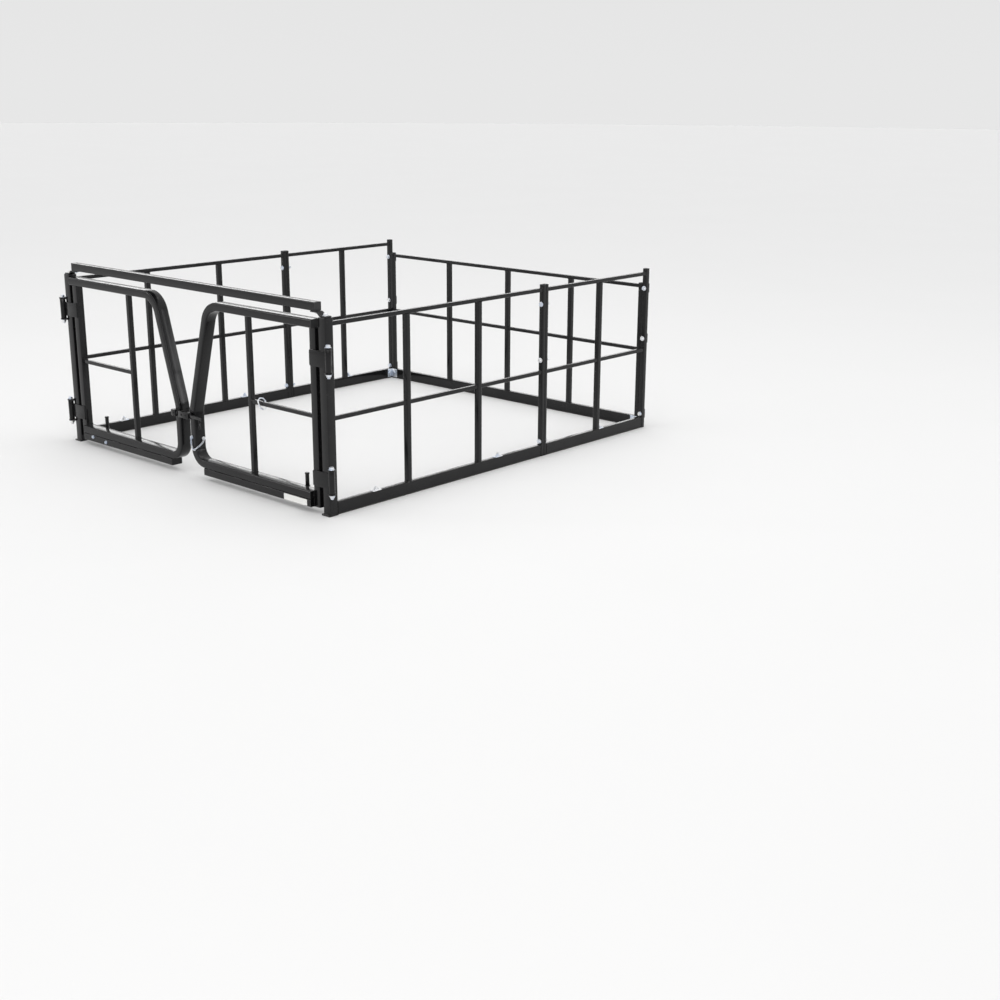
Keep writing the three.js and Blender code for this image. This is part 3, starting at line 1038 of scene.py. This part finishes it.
hingePlan = {
    "plate": 0.005,
    "plateHalf": 0.030,
    "barrel": 0.012,
    "bore": 0.0062,
    "corner": 0.006,
    "edge": 0.0009,
    "short": 0.004,          # from the plate's end to the pin's axis
    "seam": 0.0008,          # from the stile's face back to a bead's line
}


def addHinge(side, level, body):
    # strap welded to the stile, with the rolled barrel; returns its beads
    plan, sign = hingePlan, sideSigns[side]
    node = f"{side}_{level}_hinge_strap"
    low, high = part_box(node)
    z = (low.z + high.z) / 2
    axisX = sideOf(low, high, sign) - sign * plan["barrel"]
    axisY = (low.y + high.y) / 2
    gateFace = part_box(f"{side}_gate_hinge_stile")[0].y
    inner = sideOf(low, high, -sign)
    xLow, xHigh = sorted((inner, axisX - sign * plan["short"]))
    front = gateFace - touchGap
    plate = addBlock("plate", (xLow, front - plan["plate"], z - plan["plateHalf"]),
                     (xHigh, front, z + plan["plateHalf"]))
    bevelEdges(plate, lambda a, b: along(1)(a, b) and abs(a.x - inner) < 0.0001, plan["corner"], 5)
    bevelRim(plate, facing(1, -1), plan["edge"], 2)
    barrel = addRod("barrel", plan["barrel"], (axisX, axisY, z), high.z - low.z, 48)
    pick(barrel, "faces", endsOf(2))
    bpy.ops.mesh.inset(thickness=plan["barrel"] - plan["bore"])
    bpy.ops.mesh.bridge_edge_loops()
    leaveEdit()
    half = (high.z - low.z) / 2
    rim = lambda a, b: abs(a.z - b.z) < 0.00001 and abs(abs(a.z - z) - half) < 0.0001
    outside = lambda p: sqrt((p.x - axisX) ** 2 + (p.y - axisY) ** 2) > plan["barrel"] - 0.0002
    bevelEdges(barrel, lambda a, b: rim(a, b) and outside(a) and outside(b), plan["edge"], 2)
    strap = joinedAs(f"{node}_steel", [plate, barrel])
    smoothEdges(strap)
    finishPiece(strap, body, "paint", node)
    stileLow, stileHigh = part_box(f"{side}_gate_hinge_stile")
    seamY = gateFace - plan["seam"]
    beads = [
        lineAt(2, (inner, seamY, z), 0.046),
        lineAt(2, (sideOf(stileLow, stileHigh, sign), seamY, z), 0.052),
    ]
    for edge in (-1, 1):
        x = (stileLow.x + stileHigh.x) / 2
        beads.append(lineAt(0, (x, seamY, z + edge * plan["plateHalf"]), 0.018))
    for edge in (-1, 1):
        x = axisX - sign * (plan["barrel"] - 0.002)
        beads.append(lineAt(2, (x, seamY if edge > 0 else seamY - plan["plate"], z), 0.056))
    return beads


for side in sideSigns:
    addGate(side)
print("gates made")


# ---- corner posts, hinge bolts and header

postPlan = {
    "size": 0.038,
    "outer": 0.847,
    "foot": 0.006,
    "top": 0.004,
    "edge": 0.0008,
    "reach": 0.014,
    "earThick": 0.006,
    "earRoot": 0.0185,       # from the pin's axis to the middle of the ear's root
    "rootHalf": 0.0025,
    "rootBack": 0.0028,
    "rootFront": 0.0235,
    "footSide": 0.004,       # how far the foot stands out beside and behind the post
    "footBack": 0.008,
    "footCorner": 0.003,
}


def addEar(sign, axisX, axisY, low):
    # the tongue that carries the hinge bolt, grown out of a disc and a block
    plan = postPlan
    thick = plan["earThick"]
    ear = addRod("ear", plan["reach"], (axisX, axisY, low + thick / 2), thick, 40)
    root = axisX - sign * plan["earRoot"]
    block = addBlock("root", (root - plan["rootHalf"], axisY - plan["rootBack"], low),
                     (root + plan["rootHalf"], axisY + plan["rootFront"], low + thick))
    ear = joinedAs("ear", [ear, block])
    pick(ear, "corners", lambda place: True)
    bpy.ops.mesh.convex_hull()
    bpy.ops.mesh.dissolve_limited(angle_limit=radians(2))
    leaveEdit()
    bevelRim(ear, endsOf(2), 0.0007, 2)
    smoothEdges(ear)
    return ear


def addPost(side):
    plan, sign = postPlan, sideSigns[side]
    node = f"{side}_corner_post"
    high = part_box(node)[1]
    size = plan["size"]
    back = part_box(f"{side}_rear_bottom_rail")[0].y - size - touchGap
    outer = sign * plan["outer"]
    xs = sorted((outer, outer - sign * size))
    footTop, topLow = plan["foot"], high.z - plan["top"]
    tube = addTube("post", (xs[0], back, footTop), (xs[1], back + size, topLow), 2)
    foot = addBlock("foot", (xs[0] - plan["footSide"], back - plan["footBack"], 0),
                    (xs[1] + plan["footSide"], back + size, footTop))
    bevelEdges(foot, along(2), plan["footCorner"], 4)
    bevelRim(foot, facing(2), plan["edge"], 2)
    top = addBlock("top", (xs[0], back, topLow), (xs[1], back + size, high.z))
    bevelEdges(top, along(2), tubePlan["corner"], 4)
    bevelRim(top, facing(2), plan["edge"], 2)
    parts = [tube, foot, top]
    middleX, middleY = (xs[0] + xs[1]) / 2, back + size / 2
    beads = [
        ringAt(2, (middleX, middleY - 0.0012, footTop), size - 0.001, size - 0.0024),
        ringAt(2, (middleX, middleY, topLow - 0.0004), size - 0.0028, size - 0.0028),
    ]
    for level in ("lower", "upper"):
        strapLow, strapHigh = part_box(f"{side}_{level}_hinge_strap")
        axisX = sideOf(strapLow, strapHigh, sign) - sign * hingePlan["barrel"]
        axisY = (strapLow.y + strapHigh.y) / 2
        upper = strapHigh.z + 0.0005
        lower = strapLow.z - 0.0005 - plan["earThick"]
        for z in (lower, upper):
            parts.append(addEar(sign, axisX, axisY, z))
            for edge in (0, 1):
                seam = (outer + sign * 0.0008, back + 0.008, z + edge * plan["earThick"])
                beads.append(lineAt(1, seam, 0.018))
        headPlace = (axisX, axisY, upper + plan["earThick"] + 0.0002)
        nutPlace = (axisX, axisY, lower - 0.0002)
        shaft = threadEnd("shaft", boltPlan["hinge"]["shank"], lower - 0.0002,
                          upper + plan["earThick"], 0.0032)
        shaft.data.transform(Matrix.Translation((axisX, axisY, 0)))
        bolt = joinedAs(f"{side}_{level}_hinge_bolt_set",
                        [headAt(headPlace, (0, 0, 1), "hinge"), nutAt(nutPlace, (0, 0, -1), "hinge"), shaft])
        smoothEdges(bolt, 30)
        finishPiece(bolt, "frame", "zinc", f"{side}_{level}_hinge_bolt")
    post = joinedAs(f"{node}_steel", parts)
    finishPiece(post, "frame", "paint", node)
    finishJoined(f"{side}_post_welds", beads, "frame", "paint")


strapPlan = {
    "thick": 0.005,
    "foot": (0.844, 0.814),
    "leg": (0.798, 0.764),
    "bend": 0.006,
    "footBolt": 0.829,
    "legBolt": 0.779,
}


def addHeader():
    low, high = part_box("header")
    cut = capPlan["flange"]
    tube = addTube("header_tube", (low.x + cut, low.y, low.z), (high.x - cut, high.y, high.z), 0)
    finishPiece(tube, "frame", "paint", "header")
    caps = [addEndCap("cap", low, high, 0, end) for end in (-1, 1)]
    finishJoined("header_caps", caps, "frame", "plastic")
    bolts = []
    for side, sign in sideSigns.items():
        node = f"{side}_header_strap"
        strapLow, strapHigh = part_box(node)
        thick = strapPlan["thick"]
        footZ, legZ = strapLow.z + thick / 2, strapHigh.z - thick / 2
        middleY = (strapLow.y + strapHigh.y) / 2
        corners = [
            (strapPlan["foot"][1], footZ, strapPlan["bend"]),
            (strapPlan["leg"][0], legZ, strapPlan["bend"]),
            (strapPlan["leg"][1], legZ, 0),
        ]
        strap = bentTube(f"{node}_steel", (strapPlan["foot"][0], middleY, footZ), corners,
                         thick, strapHigh.y - strapLow.y, 0.0009)
        flipForLeft(strap, sign)
        finishPiece(strap, "frame", "paint", node)
        footSpot = (sign * strapPlan["footBolt"], middleY, strapLow.z + thick)
        legSpot = (sign * strapPlan["legBolt"], middleY, strapHigh.z - thick)
        bolts += [headAt(footSpot, (0, 0, 1)), headAt(legSpot, (0, 0, -1), "small")]
    finishJoined("header_bolts", bolts, "frame", "zinc")


for side in sideSigns:
    addPost(side)
addHeader()
print("posts, hinge bolts and header made")


# ---- latch

latchPlan = {
    "hole": 0.0128,
    "wall": 0.0038,
    "bevel": 0.0022,
    "screw": 0.0044,
    "bar": 0.012,
    "handleX": 0.113,
    "handle": 0.0036,
    "handleLength": 0.030,
    "grip": ((0.0012, 1.22), (0.002, 1.02), (0.006, 1.0), (0.0042, 0.98), (0.0016, 0.72)),
}


def addLatchBlock(node, body, screwShares):
    low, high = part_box(node)
    depth = Vector((0, 0.002, 0))
    block = addBlock(f"{node}_block", low + depth, high)
    middle = (low + high) / 2
    bevelEdges(block, lambda a, b: along(0)(a, b) and a.y < middle.y, latchPlan["bevel"], 4)
    bevelRim(block, endsOf(0), 0.0007, 2)
    pick(block, "faces", endsOf(0))
    bpy.ops.mesh.inset(thickness=latchPlan["wall"])
    snug = latchPlan["hole"] / (high.z - low.z - 2 * latchPlan["wall"])
    bpy.ops.transform.resize(value=(1, 1, snug), center_override=tuple(middle))
    bpy.ops.mesh.bridge_edge_loops()
    leaveEdit()
    smoothEdges(block)
    finishPiece(block, body, "paint", node)
    screws = []
    for share in screwShares:
        screw = addRod("screw", latchPlan["screw"], (0, 0, 0.0008), 0.0016, 28)
        top = facing(2)
        bevelRim(screw, top, 0.0009, 3)
        pick(screw, "faces", top)
        bpy.ops.mesh.inset(thickness=0.0014)
        extrudeBy(0, 0, -0.0008)
        leaveEdit()
        x = low.x + (high.x - low.x) * share
        screws.append(copyAt(screw, (x, low.y + 0.002, middle.z), pointing((0, -1, 0))))
        bpy.data.objects.remove(screw)
    piece = joinedAs(f"{node}_screws", screws)
    smoothEdges(piece, 40)
    finishPiece(piece, body, "paint")


def addLatchBolt():
    low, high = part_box("latch_bolt")
    plan = latchPlan
    barLow = Vector((low.x, low.y, high.z - plan["bar"]))
    bar = addBlock("bar", barLow, high)
    bevelEdges(bar, along(0), 0.0008, 2)
    bevelRim(bar, facing(0, -1), 0.002, 2)
    handleX, handleY = plan["handleX"], (low.y + high.y) / 2
    handleZ = high.z - (plan["bar"] + plan["handleLength"]) / 2
    handle = addRod("handle", plan["handle"], (handleX, handleY, handleZ), plan["handleLength"], 24)
    pick(handle, "faces", facing(2, -1))
    for drop, grow in plan["grip"]:
        extrudeBy(0, 0, -drop)
        growAbout((handleX, handleY, 0), grow)
    leaveEdit()
    bolt = joinedAs("latch_bolt_bar", [bar, handle])
    smoothEdges(bolt, 40)
    finishPiece(bolt, "latch_bolt", "paint", "latch_bolt")


addLatchBlock("latch_housing", "right_gate", (0.30, 0.70))
addLatchBlock("latch_keeper", "left_gate", (0.5,))
addLatchBolt()
print("latch made")


# ---- chain, label and small fittings

chainPlan = {
    "line": [             # x, distance ahead of the run behind the gate, z
        (0.040, 0, 0.168), (0.040, 0, 0.142), (0.045, 0, 0.124), (0.055, 0, 0.118), (0.066, 0, 0.124),
        (0.070, 0.0075, 0.130), (0.0705, 0.019, 0.136), (0.0705, 0.033, 0.146), (0.070, 0.043, 0.160),
    ],
    "wire": 0.0012,
    "half": 0.0028,      # centre of the wire from the link's middle, across
    "stretch": 0.0028,   # and the added half length
    "pitch": 0.0088,
}


def addChain():
    plan = chainPlan
    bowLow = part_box("right_gate_bow")[0]
    back = bowLow.y - 0.0053
    deselectAll()
    bpy.ops.mesh.primitive_torus_add(major_radius=plan["half"], minor_radius=plan["wire"],
                                     major_segments=20, minor_segments=8)
    link = named(bpy.context.object, "linkMaster")
    for end in (-1, 1):
        pick(link, "corners", lambda place: place.x * end > 0.00001)
        bpy.ops.transform.translate(value=(plan["stretch"] * end, 0, 0))
        leaveEdit()
    smoothEdges(link, 60)
    line = [Vector((x, back + y, z)) for x, y, z in plan["line"]]
    dense = []
    for number in range(len(line) - 1):   # a smooth line through the points
        before = line[max(0, number - 1)]
        a, b = line[number], line[number + 1]
        after = line[min(len(line) - 1, number + 2)]
        for step in range(40):
            t = step / 40
            dense.append(0.5 * (2 * a + (b - before) * t + (2 * before - 5 * a + 4 * b - after) * t * t
                                + (3 * a - before - 3 * b + after) * t ** 3))
    links, walked, number = [], 0.0, 0
    for a, b in zip(dense, dense[1:]):
        walked += (b - a).length
        if walked >= plan["pitch"] * (number + 0.5):
            turn = (b - a).to_track_quat("X", "Z").to_matrix().to_4x4()
            spin = Matrix.Rotation(radians(98 if number % 2 else 8), 4, "X")
            links.append(copyAt(link, a, turn @ spin))
            number += 1
    bpy.data.objects.remove(link)
    first, last = line[0], line[-1]
    side = bowLow.x + gatePlan["wide"]
    links.append(headAt((first.x, bowLow.y, first.z), (0, -1, 0), "small"))
    links.append(headAt((side, last.y, last.z), (1, 0, 0), "small"))
    chain = joinedAs("safety_chain_links", links)
    finishPiece(chain, "right_gate", "zinc", "safety_chain")


labelPlan = {
    "corner": 0.003,
    "rim": 0.0008,
    "slope": 0.0010,
    "dish": 0.0004,
    "rivet": 0.0018,
    "rivetInset": 0.0058,
    "rivetSink": 0.0006,
}


def addLabel():
    plan = labelPlan
    low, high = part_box("label_plate")
    plate = addBlock("label_plate_blank", low, high)
    bevelEdges(plate, along(1), plan["corner"], 5)
    pick(plate, "faces", facing(1, -1))
    bpy.ops.mesh.inset(thickness=plan["rim"])
    bpy.ops.mesh.inset(thickness=plan["slope"])
    extrudeBy(0, plan["dish"], 0)
    leaveEdit()
    smoothEdges(plate)
    finishPiece(plate, "right_gate", "label", "label_plate")
    rivets = []
    deselectAll()
    bpy.ops.mesh.primitive_uv_sphere_add(segments=20, ring_count=10, radius=plan["rivet"])
    rivet = bpy.context.object
    rivet.scale = (1, 1, 0.55)
    settle(rivet)
    inset = plan["rivetInset"]
    for x in (low.x + inset, high.x - inset):
        for z in (low.z + inset, high.z - inset):
            rivets.append(copyAt(rivet, (x, low.y + plan["rivetSink"], z), pointing((0, -1, 0))))
    bpy.data.objects.remove(rivet)
    piece = joinedAs("label_rivets", rivets)
    smoothEdges(piece, 60)
    finishPiece(piece, "right_gate", "zinc")


fittingPlan = {
    "stubX": 0.668,
    "stubLow": 0.030,
    "stubHigh": 0.128,
    "stubRadius": 0.0105,
    "stubGap": 0.003,        # from the sleeve to the tubes' inner face
    "sleeveLength": 0.050,
    "sleeveMiddle": 0.053,
    "rod": 0.0078,
    "knobHeight": 0.006,
    "knob": ((0.0004, 1.16), (0.0038, 1.0), (0.0018, 0.8)),
    "sillBolts": ((0.684, 0.044), (0.586, 0.036)),
    "ringX": 0.452,
    "ringRadius": 0.0165,
    "ringWire": 0.0028,
    "ringStretch": 0.012,
    "ringLean": 62,
    "ringRise": 0.004,
}


def addDropBolt(side):
    # a dark drop bolt in a sleeve on the inner face of the gate's two bottom tubes
    sign = sideSigns[side]
    plan = fittingPlan
    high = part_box(f"{side}_gate_sill_bar")[1]
    x, y = sign * plan["stubX"], high.y + plan["stubRadius"] + plan["stubGap"]
    sleeve = addRod("sleeve", plan["stubRadius"], (x, y, plan["sleeveMiddle"]), plan["sleeveLength"], 28)
    bevelRim(sleeve, endsOf(2), 0.0008, 2)
    pick(sleeve, "faces", endsOf(2))
    bpy.ops.mesh.inset(thickness=0.0016)
    bpy.ops.mesh.bridge_edge_loops()
    leaveEdit()
    rodLow, rodHigh = plan["stubLow"], plan["stubHigh"] - plan["knobHeight"]
    rod = addRod("rod", plan["rod"], (x, y, (rodLow + rodHigh) / 2), rodHigh - rodLow, 24)
    pick(rod, "faces", facing(2))
    for rise, grow in plan["knob"]:
        extrudeBy(0, 0, rise)
        growAbout((x, y, 0), grow)
    leaveEdit()
    piece = joinedAs(f"{side}_drop_bolt", [sleeve, rod])
    smoothEdges(piece, 35)
    finishPiece(piece, f"{side}_gate", "paint")


def addSillBolts(side):
    sign = sideSigns[side]
    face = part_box(f"{side}_gate_sill_bar")[0].y
    bolts = [headAt((sign * x, face, z), (0, -1, 0), "small") for x, z in fittingPlan["sillBolts"]]
    finishJoined(f"{side}_sill_bolts", bolts, f"{side}_gate", "zinc")


def addTieRing():
    plan = fittingPlan
    low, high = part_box("right_gate_middle_rail")
    deselectAll()
    bpy.ops.mesh.primitive_torus_add(major_radius=plan["ringRadius"], minor_radius=plan["ringWire"],
                                     major_segments=40, minor_segments=12)
    ring = named(bpy.context.object, "right_gate_tie_ring")
    pick(ring, "corners", lambda place: place.x > 0.00001)
    bpy.ops.transform.translate(value=(plan["ringStretch"], 0, 0))
    leaveEdit()
    ring.rotation_euler = (0, radians(plan["ringLean"]), 0)
    ring.location = (plan["ringX"], (low.y + high.y) / 2, (low.z + high.z) / 2 + plan["ringRise"])
    settle(ring)
    smoothEdges(ring, 60)
    finishPiece(ring, "right_gate", "zinc")


addChain()
addLabel()
for side in sideSigns:
    addDropBolt(side)
addSillBolts("left")
addTieRing()
for master in (*beadMasters.values(), *boltMasters.values()):
    bpy.data.objects.remove(master)
print("chain, label and small fittings made")
